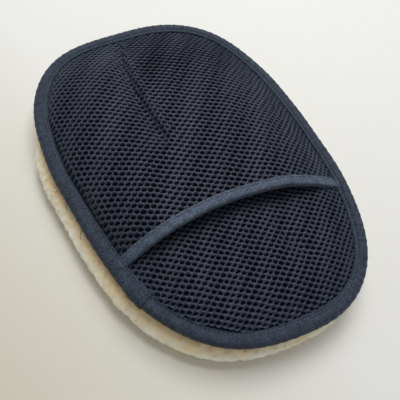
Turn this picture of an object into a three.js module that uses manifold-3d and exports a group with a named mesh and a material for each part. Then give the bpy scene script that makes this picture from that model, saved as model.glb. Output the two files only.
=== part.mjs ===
// A grooming mitt: a wool-pile pad with an air-mesh back and a mesh hand pocket, bound with tape all round.
// Millimetres, +Z up. The mitt lies pile side down and +Y points to the fingertips. The origin is the
// middle of its outline, on the surface it lies on. "Depth" is the distance in from the bound edge.
import * as THREE from "three";
import { mergeVertices } from "three/addons/utils/BufferGeometryUtils.js";
import Module from "manifold-3d";

const wasm = await Module();
wasm.setup();

// The outline: a superellipse, a little squarer and wider at the fingertips than at the wrist, where
// the right side reaches further down than the left.
const LENGTH = 247.3;
const WIDTH = 172;
const FINGER_POWER = 2.77;
const WRIST_POWER = 2.6;
const TAPER = 0.05;
const WRIST_SKEW = 14;

const GAP = 0.3; // between sewn layers
const TAPE = 0.8; // thickness of the binding tape
const TAPE_WIDTH = 9; // of the perimeter binding, on each side of the edge
const TAPE_FOLD = 1; // size of the rounded fold on the outer edge
const THREAD = 0.7; // across a stitch row

// The stack of layers under the perimeter binding, bottom to top, and how far each rises inside it.
const BINDING_LOW = 16;
const GROUND_LOW = BINDING_LOW + TAPE + GAP;
const GROUND_THICK = 1;
const MESH_LOW = GROUND_LOW + GROUND_THICK + GAP;
const MESH_RIM_THICK = 1.6; // spacer mesh pressed flat under the tape
const MESH_THICK = 2.6; // and standing free
const POCKET_LOW = MESH_LOW + MESH_RIM_THICK + GAP;
const BINDING_HIGH = POCKET_LOW + MESH_RIM_THICK + GAP + TAPE;
const LAYER_START = 1.2; // depth of the layers' cut edges, inside the fold
const PAD_RISE = 4; // how far the pad's middle stands above its edge
const PAD_RISE_DEPTH = 32;

// The hand pocket: its free edge is a shallow arc across the mitt, and it is highest at that edge.
const MOUTH_Y = -41.5;
const MOUTH_SLANT = -0.1;
const MOUTH_CURVE = -0.003;
const MOUTH_LEVEL = 2e-7; // levels out the two ends of the arc
const MOUTH_RISE = 14.7;
const TIP_RISE = 10;
const TIP_Y = 114;
const POCKET_EDGE = 10.2; // depth where the free part of the pocket starts
const FULL_DEPTH = 18; // depth from which the mesh stands at its full thickness
const POCKET_RISE_DEPTH = 36;
const EDGE_TAPE_WIDTH = 6;
const EDGE_TAPE_ROOM = 0.8; // between the pocket's edge tape and its mesh
const EDGE_TAPE_LEFT = -65; // where the tape stops, just short of the perimeter binding
const EDGE_TAPE_RIGHT = 62;

// The wool pile: it bulges past the binding on both long sides, and less at the two ends.
const PILE_SIDE_BULGE = 8;
const PILE_END_BULGE = 2;
const PILE_SIDE = 14; // height of the pile's side

const AROUND = 72; // segments round the outline
const CENTRE = 86; // nominal depth of the middle of the mitt
const OFFSET_DEPTH = 36; // down to here depth is a true offset from the outline

const mix = THREE.MathUtils.lerp;
const share = (x, from, to) => THREE.MathUtils.clamp((x - from) / (to - from), 0, 1);

function outline(angle) {
  const c = Math.cos(angle);
  const s = Math.sin(angle);
  const power = s > 0 ? FINGER_POWER : WRIST_POWER;
  const sum = Math.abs((2 * c) / WIDTH) ** power + Math.abs((2 * s) / LENGTH) ** power;
  const r = sum ** (-1 / power) + WRIST_SKEW * c * Math.max(-s, 0) ** 7;
  return new THREE.Vector2(r * c * (1 + (TAPER * 2 * r * s) / LENGTH), r * s);
}

function inset(angle, depth) {
  const step = 0.001;
  const along = outline(angle + step).sub(outline(angle - step)).normalize();
  return outline(angle).add(new THREE.Vector2(-along.y, along.x).multiplyScalar(depth));
}

// The plan position at an angle and a nominal depth, which runs from 0 on the outline to CENTRE.
function plan(angle, depth) {
  const scale = Math.min(1, (CENTRE - depth) / (CENTRE - OFFSET_DEPTH));
  return inset(angle, Math.min(depth, OFFSET_DEPTH)).multiplyScalar(scale);
}

const EDGE = Array.from({ length: 720 }, (_, i) => outline((i * Math.PI) / 360));

// The true depth of a plan point.
function depthAt(x, y) {
  return Math.sqrt(Math.min(...EDGE.map((p) => (p.x - x) ** 2 + (p.y - y) ** 2)));
}

// 0 at one depth and 1 at another, steep at first and level at the end.
function rise(depth, from, to) {
  return 1 - (1 - share(depth, from, to)) ** 2.5;
}

function padRise(depth) {
  return PAD_RISE * rise(depth, POCKET_EDGE, PAD_RISE_DEPTH);
}

function pocketRise(y, depth) {
  const height = mix(MOUTH_RISE, TIP_RISE, share(y, MOUTH_Y, TIP_Y));
  return height * rise(depth, POCKET_EDGE, POCKET_RISE_DEPTH);
}

function mouthY(x) {
  return MOUTH_Y + MOUTH_SLANT * x + MOUTH_CURVE * x ** 2 + MOUTH_LEVEL * x ** 4;
}

// Moves every vertex of a geometry, then merges the vertices that meet.
function bend(geometry, place) {
  const position = geometry.getAttribute("position");
  const point = new THREE.Vector3();
  for (let i = 0; i < position.count; i++) {
    place(point.fromBufferAttribute(position, i));
    position.setXYZ(i, point.x, point.y, point.z);
  }
  geometry.deleteAttribute("normal");
  geometry.deleteAttribute("uv");
  return mergeVertices(geometry, 1e-4);
}

// A profile of [depth, height] pairs carried round the outline. lift gives each point's extra height,
// and place the plan position at an angle and a depth.
function around(profile, lift = () => 0, place = plan) {
  const points = profile.map(([depth, z]) => new THREE.Vector2(CENTRE - depth, z));
  const geometry = new THREE.LatheGeometry(points, AROUND).rotateX(Math.PI / 2);
  return bend(geometry, (point) => {
    const angle = Math.atan2(point.y, point.x);
    const depth = CENTRE - Math.hypot(point.x, point.y);
    const flat = place(angle, depth);
    point.set(flat.x, flat.y, point.z + lift(flat.y, depth, point.z));
  });
}

// A section of [along, height] pairs, carried through a mapping of (along, height, share of the run).
function swept(section, steps, place) {
  const shape = new THREE.Shape(section.map(([a, h]) => new THREE.Vector2(a, h)));
  const geometry = new THREE.ExtrudeGeometry(shape, { depth: 1, steps, bevelEnabled: false });
  return bend(geometry, (point) => point.copy(place(point.x, point.y, point.z)));
}

// The four-sided section of a thread, as [along, height] pairs about a middle.
function threadSection(along, height) {
  const half = THREAD / 2;
  return [
    [along + half, height],
    [along, height + half],
    [along - half, height],
    [along, height - half],
  ];
}

function solidOf(geometry) {
  const mesh = new wasm.Mesh({
    numProp: 3,
    vertProperties: geometry.getAttribute("position").array,
    triVerts: new Uint32Array(geometry.index.array),
  });
  return new wasm.Manifold(mesh);
}

function geometryOf(solid) {
  const mesh = solid.getMesh();
  return new THREE.BufferGeometry()
    .setAttribute("position", new THREE.BufferAttribute(mesh.vertProperties, 3))
    .setIndex(new THREE.BufferAttribute(mesh.triVerts, 1));
}

// Everything on the wrist side of the pocket's free edge, up to well above the mitt.
function wristBlock() {
  const height = 80;
  const shape = new THREE.Shape();
  shape.moveTo(-WIDTH, -LENGTH);
  shape.lineTo(WIDTH, -LENGTH);
  for (let i = 0; i <= 40; i++) {
    const x = mix(WIDTH / 2, -WIDTH / 2, i / 40);
    shape.lineTo(x, mouthY(x));
  }
  const geometry = new THREE.ExtrudeGeometry(shape, { depth: height, bevelEnabled: false });
  return bend(geometry, () => {});
}

function withoutWrist(geometry) {
  return geometryOf(solidOf(geometry).subtract(solidOf(wristBlock())));
}

// A closed layer from its rim to the middle of the mitt, thicker inside the binding than under it.
function layer(low, rimThick, thick, rim, depths, lift) {
  const bottom = [[CENTRE, low], ...depths.toReversed().map((d) => [d, low]), [rim, low]];
  const swelling = (d) => mix(rimThick, thick, share(d, POCKET_EDGE, FULL_DEPTH));
  const top = [[rim, low + rimThick], ...depths.map((d) => [d, low + swelling(d)])];
  return around([...bottom, ...top, [CENTRE, low + thick]], lift);
}

// The wool pile, a soft block whose side swells out below the binding.
function woolPile() {
  const sideShare = (y) => 1 - Math.abs((2 * y) / LENGTH) ** 4;
  const profile = [
    [CENTRE, 0],
    [6, 0],
    [0, 1.5],
    [-1, 5],
    [-1, 9],
    [0, 13],
    [2, 14.6],
    [9, 14.6],
    [12, GROUND_LOW - GAP],
    [20, GROUND_LOW - GAP],
    [34, GROUND_LOW - GAP],
    [CENTRE, GROUND_LOW - GAP],
  ];
  const lift = (y, depth, z) => (z > PILE_SIDE ? padRise(depth) : 0);
  return around(profile, lift, (angle, depth) => {
    const bulge = mix(PILE_END_BULGE, PILE_SIDE_BULGE, sideShare(outline(angle).y));
    return plan(angle, depth - (bulge - 1) * share(depth, 6, -1));
  });
}

// The knitted ground that the pile grows from.
function pileGround() {
  const depths = [POCKET_EDGE, 14, 20, 26, 34];
  return layer(GROUND_LOW, GROUND_THICK, GROUND_THICK, LAYER_START, depths, (y, d) => padRise(d));
}

// The spacer mesh that makes the whole back of the pad.
function baseMesh() {
  const depths = [POCKET_EDGE, 12, 16, 20, 26, 34];
  return layer(MESH_LOW, MESH_RIM_THICK, MESH_THICK, LAYER_START, depths, (y, d) => padRise(d));
}

// The pocket panel's sewn margin, under the binding from one end of the mouth to the other.
function pocketMargin() {
  const end = TAPE_WIDTH + GAP;
  return withoutWrist(
    around([
      [end, POCKET_LOW],
      [LAYER_START, POCKET_LOW],
      [LAYER_START, POCKET_LOW + MESH_RIM_THICK],
      [end, POCKET_LOW + MESH_RIM_THICK],
      [end, POCKET_LOW],
    ]),
  );
}

// The free part of the pocket panel, domed over the hand.
function pocketPanel() {
  const depths = [12, 15, 18, 21, 24, 28, 36];
  return withoutWrist(
    layer(POCKET_LOW, MESH_RIM_THICK, MESH_THICK, POCKET_EDGE, depths, (y, d) => pocketRise(y, d)),
  );
}

// A point of the pocket's free edge: in from the edge, up from the panel's underside, along the mouth.
function onMouth(inward, up, along) {
  const x = mix(EDGE_TAPE_LEFT, EDGE_TAPE_RIGHT, along);
  const slope = MOUTH_SLANT + 2 * MOUTH_CURVE * x + 4 * MOUTH_LEVEL * x ** 3;
  const across = new THREE.Vector2(-slope, 1).normalize();
  const px = x + across.x * inward;
  const py = mouthY(x) + across.y * inward;
  return new THREE.Vector3(px, py, POCKET_LOW + pocketRise(py, depthAt(px, py)) + up);
}

// The tape folded over the pocket's free edge.
function pocketEdgeBinding() {
  const low = -EDGE_TAPE_ROOM;
  const high = MESH_THICK + EDGE_TAPE_ROOM;
  const section = [
    [EDGE_TAPE_WIDTH, low],
    [low, low],
    [low, high],
    [EDGE_TAPE_WIDTH, high],
    [EDGE_TAPE_WIDTH, high + TAPE],
    [low, high + TAPE],
    [low - TAPE, high],
    [low - TAPE, low],
    [low, low - TAPE],
    [EDGE_TAPE_WIDTH, low - TAPE],
  ];
  return swept(section, 36, onMouth);
}

// One row of thread along the pocket's edge tape, above or below it.
function pocketEdgeThread(up) {
  return swept(threadSection(EDGE_TAPE_WIDTH - 1.2, up), 36, onMouth);
}

// The thread that closes the dart, on the underside of the pocket panel.
function dartThread() {
  const start = new THREE.Vector2(-0.5, 106);
  const end = new THREE.Vector2(-6, 24);
  const up = -EDGE_TAPE_ROOM - THREAD / 2;
  return swept(threadSection(0, up), 16, (across, height, along) => {
    const at = start.clone().lerp(end, along);
    return new THREE.Vector3(
      at.x + across,
      at.y,
      POCKET_LOW + pocketRise(at.y, depthAt(at.x, at.y)) + height,
    );
  });
}

// The profile of a tape folded over the edge, with a rounded outer fold.
function foldedTape(inner, outerDepth, low, high) {
  const fold = outerDepth + TAPE_FOLD;
  return [
    [inner, low],
    [fold, low],
    [outerDepth, low + TAPE_FOLD],
    [outerDepth, high - TAPE_FOLD],
    [fold, high],
    [inner, high],
    [inner, high - TAPE],
    [outerDepth + TAPE, high - TAPE],
    [outerDepth + TAPE, low + TAPE],
    [inner, low + TAPE],
    [inner, low],
  ];
}

function perimeterBinding() {
  return around(foldedTape(TAPE_WIDTH, 0, BINDING_LOW, BINDING_HIGH));
}

// Where the binding's two ends meet, the last end is folded under and laid over the first.
function bindingJoin() {
  const step = TAPE + GAP;
  const innerDepth = 6.2; // just short of the stitch row
  const lap = 9; // length of the join along the edge
  const reach = 60;
  const turn = 0.75; // from the left side round toward the wrist
  const sleeve = around(foldedTape(innerDepth, -step, BINDING_LOW - step, BINDING_HIGH + step));
  const sector = new THREE.BoxGeometry(reach, lap, reach).translate(-WIDTH / 2, 0, BINDING_LOW);
  const geometry = bend(sector.rotateZ(turn), () => {});
  return geometryOf(solidOf(sleeve).intersect(solidOf(geometry)));
}

// One row of thread round the binding, above or below it.
function perimeterThread(height) {
  const section = threadSection(TAPE_WIDTH - 1.3, height).toReversed();
  return around([...section, section[0]]);
}

// A loose end of thread hanging out of the binding.
function threadTail(points) {
  const path = new THREE.CatmullRomCurve3(points.map((p) => new THREE.Vector3(...p)));
  const shape = new THREE.Shape();
  shape.absarc(0, 0, 0.3, 0, 2 * Math.PI);
  const options = { steps: 5, curveSegments: 5, extrudePath: path };
  return bend(new THREE.ExtrudeGeometry(shape, options), () => {});
}

const WOOL = new THREE.MeshStandardMaterial({ color: 0xe8dcc0, roughness: 0.95, metalness: 0 });
const GROUND = new THREE.MeshStandardMaterial({ color: 0xd9c9a4, roughness: 0.9, metalness: 0 });
const MESH = new THREE.MeshStandardMaterial({ color: 0x2b303d, roughness: 0.8, metalness: 0 });
const BINDING = new THREE.MeshStandardMaterial({ color: 0x3a4353, roughness: 0.75, metalness: 0 });
const STITCH = new THREE.MeshStandardMaterial({ color: 0x4a5262, roughness: 0.6, metalness: 0 });

const mitt = new THREE.Group();

function add(name, material, geometry) {
  const mesh = new THREE.Mesh(geometry, material.clone());
  mesh.name = name;
  mitt.add(mesh);
}

const threadAbove = GAP + THREAD / 2;

add("wool_pile", WOOL, woolPile());
add("pile_ground", GROUND, pileGround());
add("base_mesh_panel", MESH, baseMesh());
add("pocket_margin", MESH, pocketMargin());
add("perimeter_binding", BINDING, perimeterBinding());
add("binding_join", BINDING, bindingJoin());
add("perimeter_needle_thread", STITCH, perimeterThread(BINDING_HIGH + threadAbove));
add("perimeter_bobbin_thread", STITCH, perimeterThread(BINDING_LOW - threadAbove));
add("upper_thread_tail", STITCH, threadTail([[-86.5, 2, 19.5], [-89, 1, 19], [-91, -2, 17.5]]));
add("lower_thread_tail", STITCH, threadTail([[-86, -21, 19.5], [-88, -22.5, 18.6], [-89, -25.5, 17.4]]));
add("pocket_panel", MESH, pocketPanel());
add("pocket_edge_binding", BINDING, pocketEdgeBinding());
const edgeTapeTop = MESH_THICK + EDGE_TAPE_ROOM + TAPE;
add("pocket_needle_thread", STITCH, pocketEdgeThread(edgeTapeTop + threadAbove));
add("pocket_bobbin_thread", STITCH, pocketEdgeThread(-EDGE_TAPE_ROOM - TAPE - threadAbove));
add("dart_thread", STITCH, dartThread());

export default mitt;
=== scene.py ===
import math

import bpy
import numpy as np
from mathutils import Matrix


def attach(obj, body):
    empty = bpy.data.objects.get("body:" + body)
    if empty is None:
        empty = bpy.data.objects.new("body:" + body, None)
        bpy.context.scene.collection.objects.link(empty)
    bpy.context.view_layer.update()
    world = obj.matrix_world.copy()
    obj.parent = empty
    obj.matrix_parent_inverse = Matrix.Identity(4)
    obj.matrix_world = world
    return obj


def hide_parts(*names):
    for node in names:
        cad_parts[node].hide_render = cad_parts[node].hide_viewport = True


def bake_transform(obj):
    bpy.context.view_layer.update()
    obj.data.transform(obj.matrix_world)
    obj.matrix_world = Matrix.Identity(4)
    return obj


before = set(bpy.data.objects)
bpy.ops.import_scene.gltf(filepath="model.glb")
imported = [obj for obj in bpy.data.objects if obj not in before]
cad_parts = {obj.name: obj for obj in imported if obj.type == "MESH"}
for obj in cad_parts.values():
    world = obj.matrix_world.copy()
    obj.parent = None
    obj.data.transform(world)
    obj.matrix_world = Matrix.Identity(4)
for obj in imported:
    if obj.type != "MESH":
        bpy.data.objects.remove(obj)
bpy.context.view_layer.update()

# Wool pile The wash and polish face: a curly wool pile about 16 mm deep, cut to the oval of the mitt and
# matted into small tufts, that stands proud of the tape.
LENGTH = 247.3
WIDTH = 172.0
FINGER_POWER = 2.77
WRIST_POWER = 2.6
TAPER = 0.05
WRIST_SKEW = 14.0
RIM_STEP = 0.7
FIELD_STEP = 1.0
PILE_TOP = 15.6
PILE_FOOT = 1.8
PILE_INNER = 7.0
PILE_BULGE = 5.6
PILE_RIGHT_BULGE = 2.4
PILE_END_BULGE = 0.6
PILE_HIDDEN = 4.5
PILE_SHY = 3.2
TUFT = 5.2
TUFT_HIGH = 1.3
TUFT_ROUND = 3.4
TUFT_SCATTER = 0.45
BODY_STEPS = 560
TOP_RINGS = 16
SIDE_RINGS = 22
UNDER_RINGS = 40
LOCK_RADIUS = 0.2
rng = np.random.default_rng(11)


def outline(angle):
    """Points on the tape's outer fold: a rounded oval, a little uneven as hand-guided sewing leaves it."""
    across, up = np.cos(angle), np.sin(angle)
    power = np.where(up > 0, FINGER_POWER, WRIST_POWER)
    reach = (np.abs(2 * across / WIDTH) ** power + np.abs(2 * up / LENGTH) ** power) ** (-1 / power)
    reach += WRIST_SKEW * across * np.maximum(-up, 0) ** 7
    reach += 0.35 * np.sin(3 * angle + 1) + 0.25 * np.sin(7 * angle) + 0.15 * np.sin(13 * angle + 2)
    taper = 1 + TAPER * 2 * reach * up / LENGTH
    return np.stack([reach * across * taper, reach * up], -1)


fine = outline(np.linspace(0, 2 * np.pi, 24001))
travelled = np.concatenate([[0], np.cumsum(np.linalg.norm(np.diff(fine, axis=0), axis=1))])
RIM_LENGTH = travelled[-1]
stations = np.arange(0, RIM_LENGTH, RIM_STEP)
rim = np.stack([np.interp(stations, travelled, fine[:, k]) for k in (0, 1)], -1)
heading = np.roll(rim, -2, axis=0) - np.roll(rim, 2, axis=0)
heading /= np.linalg.norm(heading, axis=1)[:, None]
inward = np.stack([-heading[:, 1], heading[:, 0]], -1)


def from_rim(place, depth):
    """Plan points at these places along the rim, and these depths in from it."""
    at = [np.interp(place % RIM_LENGTH, stations, rim[:, k], period=RIM_LENGTH) for k in (0, 1)]
    way = [np.interp(place % RIM_LENGTH, stations, inward[:, k], period=RIM_LENGTH) for k in (0, 1)]
    return np.stack([at[0] + way[0] * depth, at[1] + way[1] * depth], -1), np.stack(way, -1)


field_x = np.arange(-104, 104.5, FIELD_STEP)
field_y = np.arange(-134, 134.5, FIELD_STEP)
depth_field = np.zeros((len(field_y), len(field_x)))
way_field = np.zeros((len(field_y), len(field_x), 2))
for row, y in enumerate(field_y):
    gap_x = field_x[:, None] - rim[None, :, 0]
    gap_y = y - rim[None, :, 1]
    nearest = np.argmin(gap_x**2 + gap_y**2, axis=1)
    span = np.stack([field_x, np.full(len(field_x), y)], -1) - rim[nearest]
    depth_field[row] = np.sum(span * inward[nearest], axis=1)
    way_field[row] = inward[nearest]


def read_field(field, x, y):
    """A field's value between its grid points."""
    column = np.clip((x - field_x[0]) / FIELD_STEP, 0, len(field_x) - 1.001)
    line = np.clip((y - field_y[0]) / FIELD_STEP, 0, len(field_y) - 1.001)
    i, j = line.astype(int), column.astype(int)
    u, v = line - i, column - j
    return (field[i, j] * (1 - u) * (1 - v) + field[i + 1, j] * u * (1 - v)
            + field[i, j + 1] * (1 - u) * v + field[i + 1, j + 1] * u * v)


def depth_at(x, y):
    """How far in from the rim a plan point lies."""
    return read_field(depth_field, x, y)


def ease(value, start, end):
    """0 up to start, 1 from end on, and smooth between them."""
    share = np.clip((value - start) / (end - start), 0, 1)
    return share * share * (3 - 2 * share)


def unit(vectors):
    """The same directions at length 1."""
    return vectors / np.maximum(np.linalg.norm(vectors, axis=-1, keepdims=True), 1e-9)


def make_piece(name, points, faces, material):
    """A mesh object from points in millimetres and arrays of faces."""
    corners = np.concatenate([f.ravel() for f in faces])
    sides = np.concatenate([np.full(len(f), f.shape[1]) for f in faces])
    mesh = bpy.data.meshes.new(name)
    mesh.vertices.add(len(points))
    mesh.vertices.foreach_set("co", (np.asarray(points) / 1000).astype(np.float32).ravel())
    mesh.loops.add(len(corners))
    mesh.loops.foreach_set("vertex_index", corners.astype(np.int32))
    mesh.polygons.add(len(sides))
    mesh.polygons.foreach_set("loop_start", (np.cumsum(sides) - sides).astype(np.int32))
    mesh.update(calc_edges=True)
    mesh.polygons.foreach_set("use_smooth", np.full(len(sides), True))
    mesh.materials.append(material)
    piece = bpy.data.objects.new(name, mesh)
    bpy.context.scene.collection.objects.link(piece)
    return piece


def grid_faces(rows, columns, closed_rows=False, closed_columns=False):
    """Four-cornered faces over rows of points."""
    i, j = np.meshgrid(np.arange(rows if closed_rows else rows - 1),
                       np.arange(columns if closed_columns else columns - 1), indexing="ij")
    i, j = i.ravel(), j.ravel()
    here, below = i * columns, (i + 1) % rows * columns
    right = (j + 1) % columns
    return np.stack([here + j, here + right, below + right, below + j], -1)


def tubes(paths, radii, sides):
    """Round closed strands along many paths at once, one radius for each step."""
    count, steps = paths.shape[:2]
    along = unit(np.gradient(paths, axis=1))
    mean = np.abs(along.mean(axis=1))
    helper = np.where((mean[:, 2] < 0.8)[:, None], [0.0, 0.0, 1.0], [1.0, 0.0, 0.0])[:, None]
    side = unit(np.cross(along, helper))
    top = np.cross(side, along)
    turn = np.arange(sides) * 2 * np.pi / sides
    round_about = side[:, :, None] * np.cos(turn)[:, None] + top[:, :, None] * np.sin(turn)[:, None]
    points = paths[:, :, None] + round_about * np.broadcast_to(radii, (count, steps))[:, :, None, None]
    first = np.arange(count)[:, None, None] * steps * sides
    walls = first + grid_faces(steps, sides, closed_columns=True)[None, :, ::-1]
    start = first[:, 0] + np.arange(sides)[None]
    end = first[:, 0] + (steps - 1) * sides + np.arange(sides)[None, ::-1]
    return points.reshape(-1, 3), [walls.reshape(-1, 4), start, end]


def linear(colour):
    """An sRGB hex colour as the linear one that a shader takes."""
    parts = [int(colour[k:k + 2], 16) / 255 for k in (1, 3, 5)]
    return [p / 12.92 if p <= 0.04045 else ((p + 0.055) / 1.055) ** 2.4 for p in parts] + [1.0]


def new_material(name, settings):
    """A material with one main shader at these even settings."""
    material = bpy.data.materials.new(name)
    material.use_nodes = True
    shader = material.node_tree.nodes["Principled BSDF"]
    for socket, value in settings.items():
        shader.inputs[socket].default_value = value
    return material, shader


def add_node(material, kind, settings, links):
    """Adds a node, sets its sockets or properties, and links its sockets from other nodes."""
    node = material.node_tree.nodes.new(kind)
    for key, value in settings.items():
        if isinstance(key, int) or key in node.inputs:
            node.inputs[key].default_value = value
        else:
            setattr(node, key, value)
    for key, (source, output) in links.items():
        material.node_tree.links.new(source.outputs[output], node.inputs[key])
    return node


# Undyed wool fleece: soft and matt, cream where it is open, and yellower and a little darker toward the top
# near
# the tape: painted shade where the pile tucks under the tape's edge, together with yellower roots. The
# colour drifts over a few tufts, and a fine bump stands for hairs too thin to draw.
wool, shader = new_material("wool_fleece", {
    "Roughness": 0.95, "Sheen Weight": 0.4, "Sheen Roughness": 0.5, "Specular IOR Level": 0.15,
    "Subsurface Weight": 0.6, "Subsurface Radius": (1.0, 0.8, 0.55), "Subsurface Scale": 0.004})
place = add_node(wool, "ShaderNodeTexCoord", {}, {})
drift = add_node(wool, "ShaderNodeTexNoise", {"Scale": 90.0, "Detail": 3.0}, {"Vector": (place, "Object")})
steeper = add_node(wool, "ShaderNodeMapRange", {"From Min": 0.35, "From Max": 0.65}, {"Value": (drift, 0)})
open_wool = add_node(wool, "ShaderNodeMix",
                     {"data_type": "RGBA", 6: linear("#FAE9C4"), 7: linear("#FFF7E4")}, {0: (steeper, 0)})
parts = add_node(wool, "ShaderNodeSeparateXYZ", {}, {0: (place, "Object")})
# Painted shade: the pile turns yellower and darker toward its top, where it tucks under the tape, with
# yellower roots there too.
shade_and_roots_near_tape = add_node(wool, "ShaderNodeMapRange", {"From Min": 0.010, "From Max": 0.0155},
                  {"Value": (parts, 2)})
tone = add_node(wool, "ShaderNodeMix", {"data_type": "RGBA", 7: linear("#EFCF93")},
                {0: (shade_and_roots_near_tape, 0), 6: (open_wool, 2)})
hairs = add_node(wool, "ShaderNodeTexNoise", {"Scale": 1500.0, "Detail": 2.0},
                 {"Vector": (place, "Object")})
raised = add_node(wool, "ShaderNodeBump", {"Strength": 0.3, "Distance": 0.0003}, {"Height": (hairs, 0)})
wool.node_tree.links.new(tone.outputs[2], shader.inputs["Base Color"])
wool.node_tree.links.new(raised.outputs[0], shader.inputs["Normal"])


def pile_bulge(plan, way):
    """How far the pile's skin stands out past the tape: most on the left, and less toward the fingers."""
    bulges = (PILE_RIGHT_BULGE, 0, PILE_END_BULGE, PILE_BULGE)
    bulge = np.interp(way[..., 0], (-1, -0.6, 0, 1), bulges)
    return bulge - PILE_HIDDEN * ease(plan[..., 1], 38, 70) * np.maximum(way[..., 0], 0)


def pile_skin(place, share):
    """Points and outward directions on the pile's side, from share 0 under the tape to 1 at the floor."""
    bend = (0.5 - share) * np.pi
    plan, way = from_rim(place, 0.0)
    out = pile_bulge(plan, way) + PILE_INNER
    depth = PILE_INNER - out * np.cos(bend) ** 0.8 + PILE_SHY * np.maximum(np.sin(bend), 0)
    height = (PILE_TOP + PILE_FOOT) / 2 + (PILE_TOP - PILE_FOOT) / 2 * np.sin(bend)
    points = np.concatenate([plan + way * depth[..., None], height[..., None]], -1)
    facing = np.concatenate([-way * np.cos(bend)[..., None], np.sin(bend)[..., None]], -1)
    return points, unit(facing)


def scatter(count):
    """Random shifts that take the tufts off an even grid."""
    return rng.uniform(-TUFT_SCATTER, TUFT_SCATTER, count) * TUFT


def even_grid(first, second):
    """Every pairing of two rows of values."""
    return (grid.ravel() for grid in np.meshgrid(first, second))


place, share = even_grid(np.arange(0, RIM_LENGTH, TUFT * 0.8), np.linspace(0.14, 0.98, 6))
place = place + scatter(len(place))
share = np.clip(share + rng.uniform(-0.07, 0.07, len(share)), 0.1, 1)
side_middles, side_facings = pile_skin(place, share)
under_x, under_y = even_grid(np.arange(-88, 89, TUFT), np.arange(-124, 125, TUFT))
under_x = under_x + scatter(len(under_x))
under_y = under_y + scatter(len(under_y))
chosen = depth_at(under_x, under_y) > 3
under_middles = np.stack([under_x, under_y, np.full(len(under_x), PILE_FOOT + 0.6)], -1)[chosen]
under_facings = unit(np.concatenate([rng.normal(0, 0.7, (len(under_middles), 2)),
                                     np.full((len(under_middles), 1), -1.0)], -1))


def tuft_swell(points, middles):
    """How far each point is pushed out, as the top of the tuft nearest to it."""
    swell = np.zeros(len(points))
    for first in range(0, len(points), 2000):
        gap = points[first:first + 2000, None] - middles[None]
        near = np.sqrt(np.min(np.sum(gap * gap, axis=2), axis=1))
        swell[first:first + 2000] = TUFT_HIGH * np.clip(1 - (near / TUFT_ROUND) ** 2, -0.2, 1)
    return swell


body_places = np.linspace(0, RIM_LENGTH, BODY_STEPS, endpoint=False)
rings = []
for share in np.linspace(0, 1, SIDE_RINGS):
    points, facing = pile_skin(body_places, np.full(BODY_STEPS, share))
    swell = tuft_swell(points, side_middles) * min(1, 6 * share)
    rings.append(points + facing * swell[:, None])
foot, _ = pile_skin(body_places, np.full(BODY_STEPS, 1.0))
for shrink in np.linspace(0.97, 0.02, UNDER_RINGS):
    ring = foot * [shrink, shrink, 1]
    ring[:, 2] = PILE_FOOT + 0.9 - tuft_swell(ring, under_middles)
    rings.append(ring)
top_rings = [rings[0] * [shrink, shrink, 1] for shrink in np.linspace(0.02, 0.95, TOP_RINGS)]
rings = top_rings + rings
pile_points = np.concatenate(rings)
walls = grid_faces(len(rings), BODY_STEPS, closed_columns=True)[:, ::-1]
end_caps = [np.arange(BODY_STEPS)[None], len(pile_points) - 1 - np.arange(BODY_STEPS)[None]]
wool_body = make_piece("wool_pile_body", pile_points, [walls] + end_caps, wool)
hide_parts("wool_pile")
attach(wool_body, "pad")


def wool_locks(name, middles, facings, each, reach, spread, curl, lowest, highest):
    """Curly strands in tufts: the strands of one tuft start apart and lean together at its tip."""
    count = len(middles) * each
    middle, facing = np.repeat(middles, each, axis=0), np.repeat(facings, each, axis=0)
    lean = np.repeat(rng.normal(0, 0.35, (len(middles), 3)), each, axis=0)
    size = np.repeat(rng.uniform(0.75, 1.2, len(middles)), each)
    helper = unit(rng.normal(0, 1, (count, 3)))
    across = unit(np.cross(facing, helper))
    roots = middle + across * rng.uniform(0.1, 1, count)[:, None] * spread - facing * 0.4
    tips = middle + unit(facing + lean) * (reach * size * rng.uniform(0.7, 1.1, count))[:, None]
    tips += across * spread * 0.45 * rng.uniform(0, 1, count)[:, None]
    steps = np.linspace(0, 1, 6)
    swing = curl * np.sin(np.pi * steps**0.8 * 0.8)[None] * rng.uniform(0.6, 1.3, count)[:, None]
    turn = rng.uniform(0, 2 * np.pi, count)[:, None] + steps[None] * rng.uniform(3, 8, count)[:, None]
    line = unit(tips - roots)
    right = unit(np.cross(line, helper))
    upper = np.cross(line, right)
    paths = roots[:, None] * (1 - steps)[:, None] + tips[:, None] * steps[:, None]
    round_line = np.cos(turn)[..., None] * right[:, None] + np.sin(turn)[..., None] * upper[:, None]
    paths += swing[..., None] * round_line
    paths[..., 2] = np.clip(paths[..., 2], lowest, highest)
    points, faces = tubes(paths, LOCK_RADIUS * np.array([0.9, 1.0, 1.0, 0.9, 0.7, 0.3]), 5)
    piece = make_piece(name, points, faces, wool)
    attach(piece, "pad")


for part in range(3):
    wool_locks(f"wool_side_locks_{part + 1}", side_middles[part::3], side_facings[part::3],
               each=8, reach=1.5, spread=2.2, curl=0.4, lowest=0.2, highest=15.8)
for part in range(4):
    wool_locks(f"wool_under_locks_{part + 1}", under_middles[part::4], under_facings[part::4],
               each=8, reach=2.7, spread=2.1, curl=0.9, lowest=0.15, highest=6.0)

# Knitted ground
# The knit that the wool is looped into. It is dyed dark, lies between the wool and the air mesh, and is
# caught under the tape all round.
GROUND_TOP = 17.9
GROUND_THICK = 0.8
GROUND_EDGE = 4.5
SHEET_STEP = 3.0
SHEET_HALF_X = 90
SHEET_HALF_Y = 126


def keep_all(x, y):
    """A sheet that the tape trims, and nothing else."""
    return np.full(len(x), 99.0)


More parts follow.
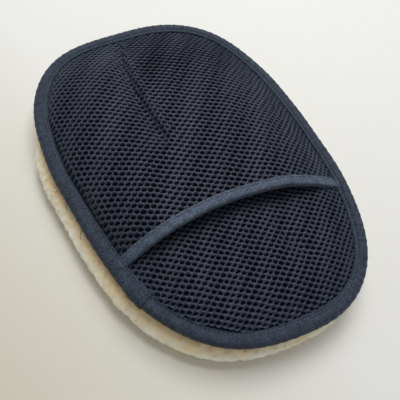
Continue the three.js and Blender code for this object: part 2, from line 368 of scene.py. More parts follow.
def sheet_over(name, height, edge_depth, keep, thickness, material):
    """A thin closed sheet at a height over the plan, trimmed in from the rim and where keep is below 0."""
    x, y = np.meshgrid(np.arange(-SHEET_HALF_X, SHEET_HALF_X + 0.1, SHEET_STEP),
                       np.arange(-SHEET_HALF_Y, SHEET_HALF_Y + 0.1, SHEET_STEP))
    rows, columns = x.shape
    x, y = x.ravel(), y.ravel()
    faces = grid_faces(rows, columns)
    for _ in range(2):
        short = np.maximum(edge_depth - depth_at(x, y), 0)
        x = x + short * read_field(way_field[..., 0], x, y) * (short < 6)
        y = y + short * read_field(way_field[..., 1], x, y) * (short < 6)
    low = np.minimum(keep(x, y), 0)
    y = y - low * (low > -SHEET_STEP * 1.5)
    good = (depth_at(x, y) > edge_depth - 0.3) & (keep(x, y) > -0.3)
    faces = faces[np.all(good[faces], axis=1)]
    used, renumbered = np.unique(faces, return_inverse=True)
    x, y = x[used], y[used]
    piece = make_piece(name, np.stack([x, y, height(x, y)], -1), [renumbered.reshape(-1, 4)], material)
    solid = piece.modifiers.new("thickness", "SOLIDIFY")
    solid.thickness = thickness / 1000
    solid.offset = -1
    bpy.context.view_layer.update()
    finished = bpy.data.meshes.new_from_object(piece.evaluated_get(bpy.context.evaluated_depsgraph_get()))
    piece.modifiers.clear()
    piece.data = finished
    return piece


# Navy polyester knit: a plain matt cloth with fine loops, drawn here at 1 mm.
ground_knit, shader = new_material("navy_ground_knit", {"Roughness": 0.9, "Sheen Weight": 0.2})
place = add_node(ground_knit, "ShaderNodeTexCoord", {}, {})
loops = add_node(ground_knit, "ShaderNodeTexVoronoi", {"Scale": 1000.0}, {"Vector": (place, "Object")})
tone = add_node(ground_knit, "ShaderNodeMix",
                {"data_type": "RGBA", 6: linear("#2A303B"), 7: linear("#171B22")}, {0: (loops, 0)})
ground_knit.node_tree.links.new(tone.outputs[2], shader.inputs["Base Color"])

ground = sheet_over("knitted_ground", lambda x, y: np.full(len(x), GROUND_TOP), GROUND_EDGE, keep_all,
                    GROUND_THICK, ground_knit)
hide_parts("pile_ground")
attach(ground, "pad")

# Base air mesh
# The back of the mitt, under the hand: a spacer mesh of knitted polyester, nearly 3 mm thick, with open
# cells on its face and a dense knit behind. The wool pushes it up in the middle, the tape holds it down.
BASE_CELL = (2.84, 3.95)
BASE_GRAIN = math.radians(-3)
CELL_SHOULDER = 0.255
CELL_POINT = 0.745
MESH_THICK = 2.7
MESH_BACK_THICK = 0.4
MESH_EDGE = 6.2
BASE_FOOT = 21.3
BASE_RISE = 5.4
BASE_FROM = 8.2
BASE_TO = 38.0
BASE_POWER = 2.2
BASE_BACK_EDGE = 5.0
UNDER_POCKET_DROP = 1.0
DENT_DEEP = 2.0
DENT_X = 20.5
DENT_Y = -78.0
MOUTH_Y = -42.0
MOUTH_SLANT = -0.10
MOUTH_CURVE = -0.003
MOUTH_LEVEL = 2e-7


def mouth_y(x):
    """Where the pocket's open edge lies."""
    return MOUTH_Y + MOUTH_SLANT * x + MOUTH_CURVE * x**2 + MOUTH_LEVEL * x**4


def rise(depth, start, end, power):
    """How a stuffed layer climbs from the tape: steep at first and flat from end on."""
    return 1 - (1 - np.clip((depth - start) / (end - start), 0, 1)) ** power


def base_height(x, y):
    """The top of the base mesh, slack here and there, with one soft dent near the wrist."""
    depth = depth_at(x, y)
    under = ease(y - mouth_y(x), -6, 10)
    sag = 0.35 * np.sin(x / 17 + 0.6) * np.sin(y / 21) + 0.2 * np.sin(x / 7 + y / 9)
    dent_side = x - DENT_X + 0.25 * (y - DENT_Y)
    dent = DENT_DEEP * np.exp(-(dent_side / 6) ** 2 - ((y - DENT_Y) / 15) ** 2)
    crown = rise(depth, BASE_FROM, BASE_TO, BASE_POWER)
    return BASE_FOOT - UNDER_POCKET_DROP * under + BASE_RISE * crown + sag * ease(depth, 8, 22) - dent


def pressed(depth):
    """The share of its thickness that a mesh keeps: little where the stitches squeeze it."""
    return 0.35 + 0.65 * ease(depth, 6, 17)


def laid_out(climb_at):
    """How flat cloth settles over a crown: depth along the cloth against depth in plan."""
    plan = np.linspace(0, 70, 701)
    climb = climb_at(plan)
    cloth = np.concatenate([[0], np.cumsum(np.hypot(np.diff(plan), np.diff(climb)))])
    return plan, cloth


def settle(x, y, plain, leftward):
    """Where points of the flat cloth come to lie in plan, between two ways of climbing."""
    flat_depth = depth_at(x, y)
    way_x, way_y = read_field(way_field[..., 0], x, y), read_field(way_field[..., 1], x, y)
    shifts, spares = [], []
    for plan, cloth in (plain, leftward):
        spare = cloth[-1] - plan[-1]
        shifts.append(np.where(flat_depth + spare < cloth[-1],
                               np.interp(flat_depth + spare, cloth, plan) - flat_depth, 0))
        spares.append(spare)
    left = np.maximum(way_x, 0)
    shift = shifts[0] * (1 - left) + shifts[1] * left
    inside = flat_depth + spares[0] * (1 - left) + spares[1] * left > 3
    return x + shift * way_x, y + shift * way_y, inside


# A cell's rim, for a cell of size 1 by 1: six corners and the middles of its six sides. Rings run from the
# crest of the yarn, shared with the next cell, down into the hole: each is a share of the way across to
# the hole's wall, and a drop below the crest.
corner_x = np.array([CELL_POINT, CELL_SHOULDER, -CELL_SHOULDER, -CELL_POINT, -CELL_SHOULDER, CELL_SHOULDER])
corner_y = np.array([0, 1, 1, 0, -1, -1]) / 2
cell_rim = np.stack([corner_x, corner_y], -1)
cell_rim = np.stack([cell_rim, (cell_rim + np.roll(cell_rim, -1, axis=0)) / 2], 1).reshape(-1, 2)
RIM_POINTS = len(cell_rim)
CELL_RINGS = ((0.0, 0.0), (0.35, 0.07), (0.7, 0.3), (0.95, 0.85), (1.0, 1.9))
NET_HALF = 36
HOLE_LONG = 1.72
HOLE_SHORT = 0.82
HOLE_TILT = math.radians(-14)


def cell_net(cell, stretch):
    """All the cells laid flat: their points, how far each is sunk, and their numbers ring by ring."""
    across, along = cell
    i, j = even_grid(np.arange(-NET_HALF, NET_HALF + 1), np.arange(-NET_HALF, NET_HALF + 1))
    middle = np.stack([i * across, (j + 0.5 * (i % 2)) * along], -1)
    edge = cell_rim * [across, along]
    turn = np.arctan2(edge[:, 1], edge[:, 0]) - HOLE_TILT
    reach = 1 / np.hypot(np.cos(turn) / HOLE_LONG, np.sin(turn) / HOLE_SHORT)
    wider = 1 + stretch(middle[:, 0], middle[:, 1])[:, None, None]
    hole = (unit(edge) * reach[:, None])[None] * wider
    points = np.stack([middle[:, None] + edge * (1 - share) + hole * share for share, _ in CELL_RINGS], 1)
    sink = np.stack([np.full((len(middle), RIM_POINTS), drop) for _, drop in CELL_RINGS], 1)
    numbers = np.arange(sink.size).reshape(sink.shape)
    return points, sink.ravel(), numbers


def share_crests(points, numbers):
    """Cells that meet use the same points on the crest between them, matched to 0.02 mm."""
    crest_spots = np.round(points[:, 0].reshape(-1, 2) * 50).astype(np.int64)
    _, first, same = np.unique(crest_spots[:, 0] * 100003 + crest_spots[:, 1],
                               return_index=True, return_inverse=True)
    crest = numbers[:, 0].reshape(-1)
    numbers[:, 0] = crest[first[same.ravel()]].reshape(-1, RIM_POINTS)


def off_grid(flat, grain):
    """The flat cloth's points, a little uneven as a loose knit is, and turned to its grain."""
    flat = flat + 0.22 * np.stack([np.sin(flat[:, 0] * 1.7 + flat[:, 1] * 0.9) + np.sin(flat[:, 1] * 0.31),
                                   np.sin(flat[:, 1] * 1.4 - flat[:, 0] * 0.8) + np.sin(flat[:, 0] * 0.27)],
                                  -1)
    return (flat[:, 0] * math.cos(grain) - flat[:, 1] * math.sin(grain),
            flat[:, 0] * math.sin(grain) + flat[:, 1] * math.cos(grain))


def facing_up(height, x, y):
    """The directions square to a height over the plan."""
    step = 0.4
    slope_x = (height(x + step, y) - height(x - step, y)) / (2 * step)
    slope_y = (height(x, y + step) - height(x, y - step)) / (2 * step)
    return unit(np.stack([-slope_x, -slope_y, np.ones(len(x))], -1))


def air_mesh(name, height, crown, keep, squeeze, stretch, cell, grain):
    """The open face of the spacer mesh: rounded yarn between the cells, laid over a height."""
    points, sink, numbers = cell_net(cell, stretch)
    share_crests(points, numbers)
    x, y, inside = settle(*off_grid(points.reshape(-1, 2), grain), *crown)
    x, y = squeeze(x, y)
    depth = depth_at(x, y)
    surface = np.stack([x, y, height(x, y)], -1)
    surface -= facing_up(height, x, y) * (sink * pressed(depth))[:, None]
    near, after = numbers[:, :-1], numbers[:, 1:]
    faces = np.stack([near, np.roll(near, -1, axis=2), np.roll(after, -1, axis=2), after], -1)
    good = inside & (depth > MESH_EDGE) & keep(x, y)
    whole = np.all(good[numbers].reshape(len(numbers), -1), axis=1)
    used, renumbered = np.unique(faces[whole].reshape(-1, 4), return_inverse=True)
    return make_piece(name, surface[used], [renumbered.reshape(-1, 4)], mesh_yarn)


# Knitted polyester yarn: navy, with a slight gleam on the filaments, so single stitches catch the light.
# The filaments are too fine to draw, so lighter flecks of about 1 mm are painted on as their glints:
# painted highlights.
mesh_yarn, shader = new_material("navy_mesh_yarn", {"Roughness": 0.55, "Sheen Weight": 0.15,
                                                    "Sheen Roughness": 0.4, "Specular IOR Level": 0.5})
place = add_node(mesh_yarn, "ShaderNodeTexCoord", {}, {})
# Painted highlights: random 1 mm flecks lighten the yarn toward pale navy, as glints of the filaments.
glint_flecks = add_node(mesh_yarn, "ShaderNodeTexNoise", {"Scale": 900.0, "Detail": 3.0, "Roughness": 0.65},
                  {"Vector": (place, "Object")})
sharper = add_node(mesh_yarn, "ShaderNodeMapRange", {"From Min": 0.38, "From Max": 0.68},
                   {"Value": (glint_flecks, 0)})
tone = add_node(mesh_yarn, "ShaderNodeMix",
                {"data_type": "RGBA", 6: linear("#0A0F1A"), 7: linear("#2D374C")}, {0: (sharper, 0)})
filament = add_node(mesh_yarn, "ShaderNodeTexNoise", {"Scale": 2600.0, "Detail": 1.0},
                    {"Vector": (place, "Object")})
raised = add_node(mesh_yarn, "ShaderNodeBump", {"Strength": 0.6, "Distance": 0.0003},
                  {"Height": (filament, 0)})
mesh_yarn.node_tree.links.new(tone.outputs[2], shader.inputs["Base Color"])
mesh_yarn.node_tree.links.new(raised.outputs[0], shader.inputs["Normal"])

# The same yarn in the shade at the back of the holes: a dense dull knit, almost black, in 1 mm loops.
mesh_back, shader = new_material("dark_mesh_back", {"Roughness": 0.9, "Specular IOR Level": 0.1})
place = add_node(mesh_back, "ShaderNodeTexCoord", {}, {})
loops = add_node(mesh_back, "ShaderNodeTexVoronoi", {"Scale": 900.0}, {"Vector": (place, "Object")})
tone = add_node(mesh_back, "ShaderNodeMix",
                {"data_type": "RGBA", 6: linear("#1C212C"), 7: linear("#10141C")}, {0: (loops, 0)})
mesh_back.node_tree.links.new(tone.outputs[2], shader.inputs["Base Color"])


def base_stretch(x, y):
    """How much wider or narrower than usual the base's holes are: a little uneven all over."""
    return -0.08 + 0.05 * np.sin(x / 11 + y / 17)


base_crown = (laid_out(lambda depth: BASE_RISE * rise(depth, BASE_FROM, BASE_TO, BASE_POWER)),) * 2
base_net = air_mesh("base_mesh_face", base_height, base_crown,
                    lambda x, y: y < mouth_y(x) + 14, lambda x, y: (x, y), base_stretch,
                    BASE_CELL, BASE_GRAIN)
base_net_inside = air_mesh("base_mesh_face_in_pocket", base_height, base_crown,
                           lambda x, y: y > mouth_y(x) + 9, lambda x, y: (x, y), base_stretch,
                           BASE_CELL, BASE_GRAIN)


def base_back_height(x, y):
    """The top of the dense knit behind the base mesh's cells."""
    return base_height(x, y) - (MESH_THICK - MESH_BACK_THICK) * pressed(depth_at(x, y))


base_back = sheet_over("base_mesh_back", base_back_height, BASE_BACK_EDGE, keep_all, MESH_BACK_THICK,
                       mesh_back)
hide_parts("base_mesh_panel")
for piece in (base_net, base_net_inside, base_back):
    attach(piece, "pad")

# Hand pocket
# A second panel of the same mesh over the finger end, caught under the tape on three sides and open
# toward the wrist. A dart sewn down from the finger tips makes it stand up over the hand.
POCKET_CELL = (3.1, 4.0)
POCKET_GRAIN = 0.0
POCKET_FOOT = 21.7
POCKET_CROWN = 15.6
TIP_CROWN = 5.5
POCKET_FROM = 8.4
POCKET_TO = 44.0
POCKET_POWER = 2.0
POCKET_BACK_EDGE = 6.0
WALL_FROM = 9.0
WALL_RUN = 4.5
WALL_SHARE = 0.38
LEFT_CROWN = 0.7
RIGHT_LONGER = 12.0
DART_START = 117.0
DART_END = 16.0
DART_FOOT_X = -18.0
DART_LEAN = 16.0
DART_DEEP = 3.6
DART_LEFT = 7.0
DART_RIGHT = 2.2
DART_LIP = 1.2


def dart_share(y):
    """How far up the dart a point is: 0 at its foot and 1 at the finger tips."""
    return (y - DART_END) / (DART_START - DART_END)


def dart_line(y):
    """Where the dart's seam runs: it leans to the right as it climbs."""
    return DART_FOOT_X + DART_LEAN * np.clip(dart_share(y), 0, 1.05) ** 2.5


def dart_side(x, y):
    """How far right of the dart's line a point is."""
    return x - dart_line(y)


def sewn_in(y):
    """0 below the dart's foot and 1 soon above it."""
    return ease(dart_share(y), -0.1, 0.05)


def dart_groove(x, y):
    """How far the dart pulls the pocket down, with a rolled lip on its right."""
    side = dart_side(x, y)
    wide = np.where(side < 0, DART_LEFT, DART_RIGHT)
    groove = DART_DEEP * np.exp(-(np.abs(side) / wide) ** 1.4)
    lip = DART_LIP * np.exp(-((side - 4.2) / 3.0) ** 2)
    return (groove - lip) * sewn_in(y) * ease(depth_at(x, y), 8, 20)


def left_climb(depth, wall_share):
    """The pocket's climb on its left: a short steep wall next to the tape, and a long slope after it."""
    wall = rise(depth, WALL_FROM, WALL_FROM + WALL_RUN, 2.5)
    return wall_share * wall + (1 - wall_share) * rise(depth, WALL_FROM, POCKET_TO, POCKET_POWER)


def pocket_height(x, y):
    """The top of the pocket's mesh."""
    depth = depth_at(x, y)
    back = np.clip((y - mouth_y(x)) / (DART_START - mouth_y(x)), 0, 1)
    crown = POCKET_CROWN + (TIP_CROWN - POCKET_CROWN) * back**2
    sag = 0.4 * np.sin(x / 19 + 1.4) * np.sin(y / 23 + 0.4) + 0.22 * np.sin(x / 8 - y / 11)
    from_left = read_field(way_field[..., 0], x, y)
    left, right = np.maximum(from_left, 0), np.maximum(-from_left, 0)
    climb = rise(depth, POCKET_FROM, POCKET_TO + RIGHT_LONGER * right, POCKET_POWER - 0.2 * right)
    wall_share = WALL_SHARE * (0.2 + 0.8 * ease(y - mouth_y(x), 3, 24))
    climb = climb * (1 - left) + left_climb(depth, wall_share) * left
    return POCKET_FOOT + crown * climb + sag * ease(depth, 9, 24) - dart_groove(x, y)


def gather_to_dart(x, y):
    """Cells are drawn in toward the dart's seam."""
    side = dart_side(x, y)
    pull = np.where(side > 0, 0.55, 0.15) * sewn_in(y)
    return x - side * pull * np.exp(-np.abs(side) / 5), y


def pocket_stretch(x, y):
    """How much wider the pocket's holes are: most over the finger tips right of the dart."""
    at_seam = 0.3 * np.exp(-((dart_side(x, y) - 2) / 3) ** 2) * sewn_in(y)
    return 0.34 * ease(y, 30, 90) * ease(x, -15, 5) + 0.05 * np.sin(x / 9 - y / 14) - at_seam


mean_crown = (POCKET_CROWN + TIP_CROWN) / 2
left_crown = LEFT_CROWN * mean_crown
pocket_crown = (laid_out(lambda depth: mean_crown * rise(depth, POCKET_FROM, POCKET_TO, POCKET_POWER)),
                laid_out(lambda depth: left_crown * rise(depth, WALL_FROM, POCKET_TO, POCKET_POWER)))
pocket_net = air_mesh("pocket_mesh_face", pocket_height, pocket_crown,
                      lambda x, y: y > mouth_y(x) + 2, gather_to_dart, pocket_stretch,
                      POCKET_CELL, POCKET_GRAIN)


def pocket_back_height(x, y):
    """The top of the dense knit behind the pocket's cells."""
    return pocket_height(x, y) - (MESH_THICK - MESH_BACK_THICK) * pressed(depth_at(x, y))


pocket_back = sheet_over("pocket_mesh_back", pocket_back_height, POCKET_BACK_EDGE,
                         lambda x, y: y - mouth_y(x) - 1.0, MESH_BACK_THICK, mesh_back)
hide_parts("pocket_panel", "pocket_margin")
for piece in (pocket_net, pocket_back):
    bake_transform(piece)

# Pocket edge tape
# A 16 mm woven tape folded over the pocket's open edge and sewn through, so 6 mm shows on each face.
# Its ends run in under the tape round the mitt.
EDGE_WIDE = 5.8
EDGE_THICK = 0.6
EDGE_STITCH = 1.1
EDGE_PITCH = 3.2
TAPE_RIB = 1.1


def mouth_frame(x):
    """Plan points on the pocket's open edge, and the directions into the pocket."""
    slope = MOUTH_SLANT + 2 * MOUTH_CURVE * x + 4 * MOUTH_LEVEL * x**3
    into = unit(np.stack([-slope, np.ones(len(x))], -1))
    return np.stack([x, mouth_y(x)], -1), into


def edge_point(x, into_pocket, lift):
    """A point on or under the pocket's edge, lifted square to the mesh."""
    plan, into = mouth_frame(x)
    spot = plan + into * np.maximum(into_pocket, 0)[..., None]
    return spot, pocket_height(spot[:, 0], spot[:, 1]) + lift, into


def woven_tape(name, dark, light):
    """Woven polyester tape: a close twill of dull navy yarn with ribs on the slant."""
    material, shader = new_material(name, {"Roughness": 0.72, "Sheen Weight": 0.2, "Sheen Roughness": 0.35,
                                           "Specular IOR Level": 0.35})
    where = add_node(material, "ShaderNodeUVMap", {"uv_map": "tape"}, {})
    # A slanted band repeats every 0.444 / scale metres, so this draws one rib each 1.1 mm: the real ribs
    # are about half as wide, too fine to show.
    ribs = add_node(material, "ShaderNodeTexWave", {"bands_direction": "DIAGONAL", "Scale": 444 / TAPE_RIB,
                                                    "Distortion": 1.2, "Detail": 1.0, "Detail Scale": 2.0},
                    {"Vector": (where, "UV")})
    cloud = add_node(material, "ShaderNodeTexNoise", {"Scale": 220.0, "Detail": 4.0, "Roughness": 0.6},
                     {"Vector": (where, "UV")})
    grain = add_node(material, "ShaderNodeTexNoise", {"Scale": 900.0, "Detail": 3.0, "Roughness": 0.6},
                     {"Vector": (where, "UV")})
    both = add_node(material, "ShaderNodeMath", {"operation": "MULTIPLY", 1: 0.14}, {0: (ribs, 0)})
    mixed = add_node(material, "ShaderNodeMath", {"operation": "MULTIPLY_ADD", 1: 0.6},
                     {0: (cloud, 0), 2: (both, 0)})
    flecked = add_node(material, "ShaderNodeMath", {"operation": "MULTIPLY_ADD", 1: 0.9},
                       {0: (grain, 0), 2: (mixed, 0)})
    spread = add_node(material, "ShaderNodeMapRange", {"From Min": 0.62, "From Max": 1.02},
                      {"Value": (flecked, 0)})
    tone = add_node(material, "ShaderNodeMix", {"data_type": "RGBA", 6: linear(dark), 7: linear(light)},
                    {0: (spread, 0)})
    raised = add_node(material, "ShaderNodeBump", {"Strength": 0.8, "Distance": 0.0004},
                      {"Height": (flecked, 0)})
    material.node_tree.links.new(tone.outputs[2], shader.inputs["Base Color"])
    material.node_tree.links.new(raised.outputs[0], shader.inputs["Normal"])
    return material


def folded_strip(name, sections, travel, material, closed):
    """A strip from cross-sections given in order, with its cloth's own lengths in metres as the UV map."""
    rows, columns = sections.shape[:2]
    faces = grid_faces(rows, columns, closed_rows=closed, closed_columns=True)
    around = np.arange(columns)[None]
    caps = [] if closed else [around[:, ::-1], (rows - 1) * columns + around]
    piece = make_piece(name, sections.reshape(-1, 3), [faces] + caps, material)
    middle = sections[rows // 2]
    across = np.concatenate([[0], np.cumsum(np.linalg.norm(np.diff(middle, axis=0), axis=1))])
    across = np.append(across, across[-1] + np.linalg.norm(middle[0] - middle[-1]))
    i, j = faces[:, 0] // columns, faces[:, 0] % columns
    travel = np.append(travel, travel[-1] + travel[1] - travel[0])
    corners = np.stack([travel[i], across[j], travel[i], across[j + 1], travel[i + 1], across[j + 1],
                        travel[i + 1], across[j]], -1).reshape(-1, 2)
    corners = np.concatenate([corners] + [np.zeros((columns, 2)) for _ in caps]) / 1000
    piece.data.uv_layers.new(name="tape").data.foreach_set("uv", corners.astype(np.float32).ravel())
    return piece


edge_tape_cloth = woven_tape("navy_woven_edge_tape", "#232A35", "#5C6777")
edge_x = np.linspace(-80, 80, 260)
edge_x = edge_x[depth_at(edge_x, mouth_y(edge_x)) > 4.5]
profile = [(EDGE_WIDE, 0.1), (EDGE_WIDE + 0.15, 0.4), (EDGE_WIDE - 0.3, EDGE_THICK),
           (EDGE_WIDE - EDGE_STITCH, 0.25), (4.0, 0.7), (2.6, 0.78), (1.2, 0.78), (0.3, 0.68), (-0.3, 0.3),
           (-0.55, -0.6), (-0.55, -2.2), (-0.3, -3.2), (0.3, -3.6), (1.6, -3.7), (3.0, -3.7),
           (EDGE_WIDE, -3.6), (EDGE_WIDE, -3.1), (3.0, -3.05), (1.0, -2.95), (0.3, -2.3), (0.15, -1.4),
           (0.3, -0.5), (1.0, -0.05), (3.0, 0.12)]
sections = []
for into_pocket, lift in profile:
    spot, height, into = edge_point(edge_x, np.full(len(edge_x), into_pocket), 0.0)
    near = np.where(lift < 0, pressed(depth_at(edge_x, mouth_y(edge_x))), 1.0)
    plan = spot + into * min(into_pocket, 0)
    waver = 0.12 * np.sin(edge_x * 2 * np.pi / 7.3) * (1 if lift > 0 else 0)
    sections.append(np.stack([plan[:, 0], plan[:, 1], height + lift * near + waver], -1))
edge_tape = folded_strip("pocket_edge_tape", np.stack(sections, 1), edge_x, edge_tape_cloth, closed=False)
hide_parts("pocket_edge_binding")
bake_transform(edge_tape)

# Perimeter tape
# A 25 mm woven tape cut on the slant, folded over the edge of all the layers and sewn through them once,
# so 9 mm shows on each face. It starts and ends on the left, where its end laps over its start.
TAPE_WIDE = 9.0
TAPE_THICK = 0.8
TAPE_TOP = 23.0
TAPE_LOW = 15.9
TAPE_FOLD = 3.2
STITCH_DEPTH = 7.2
STITCH_PITCH = 2.7
JOIN_X = -69.0
JOIN_Y = -66.5
LAP_LENGTH = 17.0
LAP_RAMP = 9.0
LAP_LIFT = 0.85
TAPE_STEP = 0.7


def seat(place, depth):
    """The height of the mesh that the tape's inner edge lies on."""
    plan, _ = from_rim(place, depth)
    x, y = plan[..., 0], plan[..., 1]
    in_pocket = ease(y - mouth_y(x), -3, 3)
    base = base_height(x, y)
    return base * (1 - in_pocket) + np.maximum(pocket_height(x, y), base) * in_pocket


tape_places = np.arange(0, RIM_LENGTH - TAPE_STEP / 2, TAPE_STEP)
join_place = stations[np.argmin((rim[:, 0] - JOIN_X) ** 2 + (rim[:, 1] - JOIN_Y) ** 2)]


def past_join(place):
    """How far along the rim past the tape's join a place is, the short way round."""
    return (place - join_place + RIM_LENGTH / 2) % RIM_LENGTH - RIM_LENGTH / 2


def lap_climb(beyond):
    """How far the tape's lapping end stands up off its start."""
    return LAP_LIFT * ease(beyond, -LAP_LENGTH, -LAP_LENGTH + LAP_RAMP)


def tape_section(place, wide, lift):
    """Cross-sections of the folded tape, outer face first and then the inner one."""
    outer = [(wide, -0.2), (wide + 0.1, 0.2), (wide - 0.4, 0.7), (8.0, 0.9), (STITCH_DEPTH, 0.15),
             (6.5, 0.95)]
    middle, half = (TAPE_TOP + TAPE_LOW) / 2, (TAPE_TOP - TAPE_LOW) / 2
    inner_edge = seat(place, wide)
    stitch_seat = seat(place, np.full(len(place), STITCH_DEPTH))
    rows = []
    pucker = (0.16 * np.sin(2 * np.pi * place / 6.1 + 2 * np.sin(place / 23))
              + 0.12 * np.sin(2 * np.pi * place / 3.7 + 1.5 * np.sin(place / 11)))
    dimple = 0.35 * (0.5 + 0.5 * np.cos(2 * np.pi * place / STITCH_PITCH)) ** 2
    for depth, raised in outer:
        depth = np.broadcast_to(depth, place.shape)
        raised = raised - dimple * np.exp(-((depth - STITCH_DEPTH) / 0.6) ** 2)
        near = ease(depth, STITCH_DEPTH - 1, wide)
        rows.append((depth, stitch_seat * (1 - near) + inner_edge * near + raised + lift * 0.9))
    crest = pucker * 0.7
    rows.append((np.full(len(place), 5.8), TAPE_TOP + 0.05 + crest + lift))
    rows.append((np.full(len(place), 4.6), TAPE_TOP + 0.12 + crest + lift))
    for turn in np.linspace(0, math.pi, 11):
        out = TAPE_FOLD * (1 - math.sin(turn))
        rows.append((out - lift * math.sin(turn) - pucker * 0.5 * math.sin(turn),
                     middle + (half + lift) * math.cos(turn) + crest * max(math.cos(turn), 0)))
    rows.append((np.full(len(place), 6.0), TAPE_LOW - 0.1 - lift))
    rows.append((wide, TAPE_LOW + 0.1 - lift))
    rows.append((wide, TAPE_LOW + 0.7 - lift))
    for turn in np.linspace(math.pi, 0, 7):
        out = TAPE_FOLD * (1 - math.sin(turn)) + TAPE_THICK * math.sin(turn)
        rows.append((out - lift * math.sin(turn),
                     middle + (half - TAPE_THICK + lift) * math.cos(turn)))
    rows.append((np.full(len(place), 5.8), TAPE_TOP - TAPE_THICK - 0.2 + lift))
    rows.append((np.full(len(place), STITCH_DEPTH), stitch_seat - 0.1 + lift * 0.9))
    sections = []
    for depth, height in rows:
        plan, _ = from_rim(place, np.broadcast_to(depth, place.shape))
        sections.append(np.concatenate([plan, np.broadcast_to(height, place.shape)[:, None]], -1))
    return np.stack(sections, 1)


tape_cloth = woven_tape("navy_woven_binding_tape", "#10151C", "#3A4553")
beyond = past_join(tape_places)
narrower = ease(beyond, -1, 3) * (1 - ease(beyond, 60, 110))
tape_wide = TAPE_WIDE + 0.25 * np.sin(tape_places / 19) - narrower
perimeter_tape = folded_strip("perimeter_tape",
                              tape_section(tape_places, tape_wide, np.zeros(len(tape_places))),
                              tape_places, tape_cloth, closed=True)
lap_places = join_place + np.arange(-LAP_LENGTH, TAPE_STEP / 2, TAPE_STEP)
lap_lift = lap_climb(lap_places - join_place) - 0.12
lap = folded_strip("perimeter_tape_lap",
                   tape_section(lap_places, np.full(len(lap_places), TAPE_WIDE + 0.3), lap_lift),
                   lap_places, tape_cloth, closed=False)
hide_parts("perimeter_binding")
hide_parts("binding_join")
for piece in (perimeter_tape, lap):
    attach(piece, "pad")

# Sewing thread
# One lockstitch line holds the tape round the mitt, another holds the pocket's edge tape, and a third
# closes the dart inside the pocket. Two thread tails hang off the tape on the left.
STITCH_RADIUS = 0.2625
STITCH_GAP = 0.5
DART_SEAM = 78.0
TAIL_RADIUS = 0.21
TAIL_STEPS = 24
TAILS = (((-85.2, 6.6, 19.2), (-86.4, 5.6, 18.7), (-87.2, 4.2, 18.1), (-87.4, 2.8, 17.8)),
         ((-84.6, -13.0, 19.4), (-86.2, -14.4, 18.9), (-87.4, -16.0, 18.2), (-87.5, -17.8, 17.7)))

# Spun polyester thread: navy with a soft gleam, its colour set lighter than the cloth's as a painted
# highlight where it lies proud.
thread, shader = new_material("navy_polyester_thread", {"Roughness": 0.5, "Sheen Weight": 0.4,
                                                        "Specular IOR Level": 0.5})
place = add_node(thread, "ShaderNodeTexCoord", {}, {})
plies = add_node(thread, "ShaderNodeTexNoise", {"Scale": 1200.0, "Detail": 2.0},
                 {"Vector": (place, "Object")})
tone = add_node(thread, "ShaderNodeMix", {"data_type": "RGBA", 6: linear("#1E242F"), 7: linear("#4E5766")},
                {0: (plies, 0)})
thread.node_tree.links.new(tone.outputs[2], shader.inputs["Base Color"])


def stitch_line(name, spot_at, total, pitch, sign, node):
    """A row of single stitches: each a short strand that dips into the cloth at both ends."""
    starts = np.arange(0, total - pitch, pitch)
    share = np.linspace(0, 1, 6)
    at = starts[:, None] + STITCH_GAP / 2 + share[None] * (pitch - STITCH_GAP)
    points = spot_at(at.ravel()).reshape(len(starts), 6, 3)
    points[..., 2] += sign * (0.22 * np.sin(np.pi * share) - 0.12)[None]
    vertices, faces = tubes(points, STITCH_RADIUS * np.array([0.5, 0.95, 1.0, 1.0, 0.95, 0.5]), 6)
    piece = make_piece(name, vertices, faces, thread)
    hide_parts(node)
    return piece


def perimeter_stitch(place):
    """Points of the needle thread on the tape."""
    depth = STITCH_DEPTH + 0.15 * np.sin(place / 31)
    plan, _ = from_rim(place, depth)
    beyond = past_join(place)
    lifted = lap_climb(beyond) * (beyond < 0)
    height = seat(place, np.full(len(place), STITCH_DEPTH)) + 0.3 + lifted
    return np.concatenate([plan, height[:, None]], -1)


def perimeter_under_stitch(place):
    """Points of the bobbin thread under the tape."""
    plan, _ = from_rim(place, STITCH_DEPTH)
    return np.concatenate([plan, np.full((len(place), 1), TAPE_LOW - 0.1)], -1)


edge_run = np.concatenate([[0], np.cumsum(np.hypot(np.diff(edge_x), np.diff(mouth_y(edge_x))))])


def edge_stitch(place):
    """Points of the needle thread on the pocket's edge tape."""
    x = np.interp(place, edge_run, edge_x)
    spot, height, _ = edge_point(x, np.full(len(x), EDGE_WIDE - EDGE_STITCH), 0.5)
    return np.concatenate([spot, height[:, None]], -1)


def edge_under_stitch(place):
    """Points of the bobbin thread under the pocket's edge."""
    x = np.interp(place, edge_run, edge_x)
    spot, height, _ = edge_point(x, np.full(len(x), EDGE_WIDE - EDGE_STITCH), 0.0)
    return np.concatenate([spot, (height - 3.7 * pressed(depth_at(spot[:, 0], spot[:, 1])))[:, None]], -1)


def dart_stitch(place):
    """Points of the thread that closes the dart, on the inside of the pocket."""
    y = DART_END + 6 + place
    x = dart_line(y)
    return np.stack([x, y, pocket_height(x, y) - MESH_THICK - 0.3], -1)


needle = stitch_line("perimeter_needle_stitches", perimeter_stitch, RIM_LENGTH, STITCH_PITCH, 1,
                     "perimeter_needle_thread")
bobbin = stitch_line("perimeter_bobbin_stitches", perimeter_under_stitch, RIM_LENGTH, STITCH_PITCH, -1,
                     "perimeter_bobbin_thread")
for piece in (needle, bobbin):
    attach(piece, "pad")
pocket_needle = stitch_line("pocket_edge_needle_stitches", edge_stitch, edge_run[-1], EDGE_PITCH, 1,
                            "pocket_needle_thread")
pocket_bobbin = stitch_line("pocket_edge_bobbin_stitches", edge_under_stitch, edge_run[-1], EDGE_PITCH, -1,
                            "pocket_bobbin_thread")
dart_thread = stitch_line("dart_stitches", dart_stitch, DART_SEAM, STITCH_PITCH, -1, "dart_thread")
for piece in (pocket_needle, pocket_bobbin, dart_thread):
    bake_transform(piece)

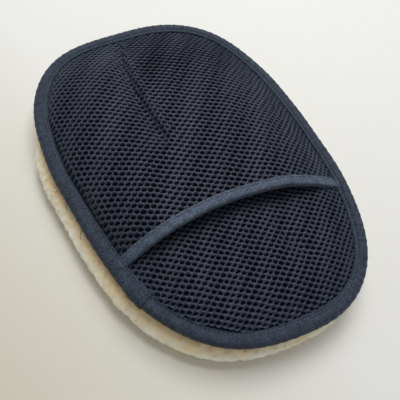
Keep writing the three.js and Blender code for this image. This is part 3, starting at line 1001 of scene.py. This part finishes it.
for points, node in zip(TAILS, ("upper_thread_tail", "lower_thread_tail")):
    rough = np.array(points)
    steps = np.linspace(0, len(rough) - 1, TAIL_STEPS)
    path = np.stack([np.interp(steps, np.arange(len(rough)), rough[:, k]) for k in range(3)], -1)
    for _ in range(3):
        path[1:-1] = (path[:-2] + 2 * path[1:-1] + path[2:]) / 4
    vertices, faces = tubes(path[None], TAIL_RADIUS * np.linspace(1, 0.7, TAIL_STEPS), 6)
    tail = make_piece(node + "_curl", vertices, faces, thread)
    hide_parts(node)
    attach(tail, "pad")

# Floor, light and camera
# A pale floor with painted shade, darker and yellower toward the near left where the light falls off, with
# a bright soft sky and one large cool lamp high on the right. The camera looks down on the back of the mitt
# from its wrist end.
FLOOR_HALF = 3000.0

floor_paint, shader = new_material("pale_floor", {"Roughness": 0.9})
place = add_node(floor_paint, "ShaderNodeTexCoord", {}, {})
parts = add_node(floor_paint, "ShaderNodeSeparateXYZ", {}, {0: (place, "Object")})
# Painted shade: the floor darkens and yellows toward the near left, where the light falls off.
farther = add_node(floor_paint, "ShaderNodeMath", {"operation": "MULTIPLY_ADD", 1: 0.25},
                   {0: (parts, 1), 2: (parts, 0)})
drift = add_node(floor_paint, "ShaderNodeMapRange", {"From Min": -0.26, "From Max": -0.02},
                 {"Value": (farther, 0)})
tone = add_node(floor_paint, "ShaderNodeMix",
                {"data_type": "RGBA", 6: linear("#C6BC98"), 7: linear("#EBE7DB")}, {0: (drift, 0)})
floor_paint.node_tree.links.new(tone.outputs[2], shader.inputs["Base Color"])
floor_corners = FLOOR_HALF * np.array([[-1, -1, 0], [1, -1, 0], [1, 1, 0], [-1, 1, 0]])
floor = make_piece("floor", floor_corners, [np.array([[0, 1, 2, 3]])], floor_paint)

sky = bpy.data.worlds.new("soft_sky")
sky.use_nodes = True
sky.node_tree.nodes["Background"].inputs["Color"].default_value = linear("#EEF2FA")
sky.node_tree.nodes["Background"].inputs["Strength"].default_value = 0.4
bpy.context.scene.world = sky

lamp_data = bpy.data.lights.new("window_lamp", "AREA")
lamp_data.energy = 11.0
lamp_data.size = 0.7
lamp_data.color = linear("#F2F6FF")[:3]
lamp = bpy.data.objects.new("window_lamp", lamp_data)
lamp.location = (0.30, 0.42, 1.0)
lamp.rotation_euler = lamp.location.to_track_quat("Z", "Y").to_euler()
bpy.context.scene.collection.objects.link(lamp)

camera_data = bpy.data.cameras.new("camera")
camera_data.lens = 38.7
camera_data.sensor_width = 36.0
camera = bpy.data.objects.new("camera", camera_data)
camera.location = (-0.105, -0.122, 0.2474)
camera.rotation_euler = [math.radians(angle) for angle in (29.15, -7.44, -30.44)]
bpy.context.scene.collection.objects.link(camera)
bpy.context.scene.camera = camera
bpy.context.scene.view_settings.view_transform = "Standard"
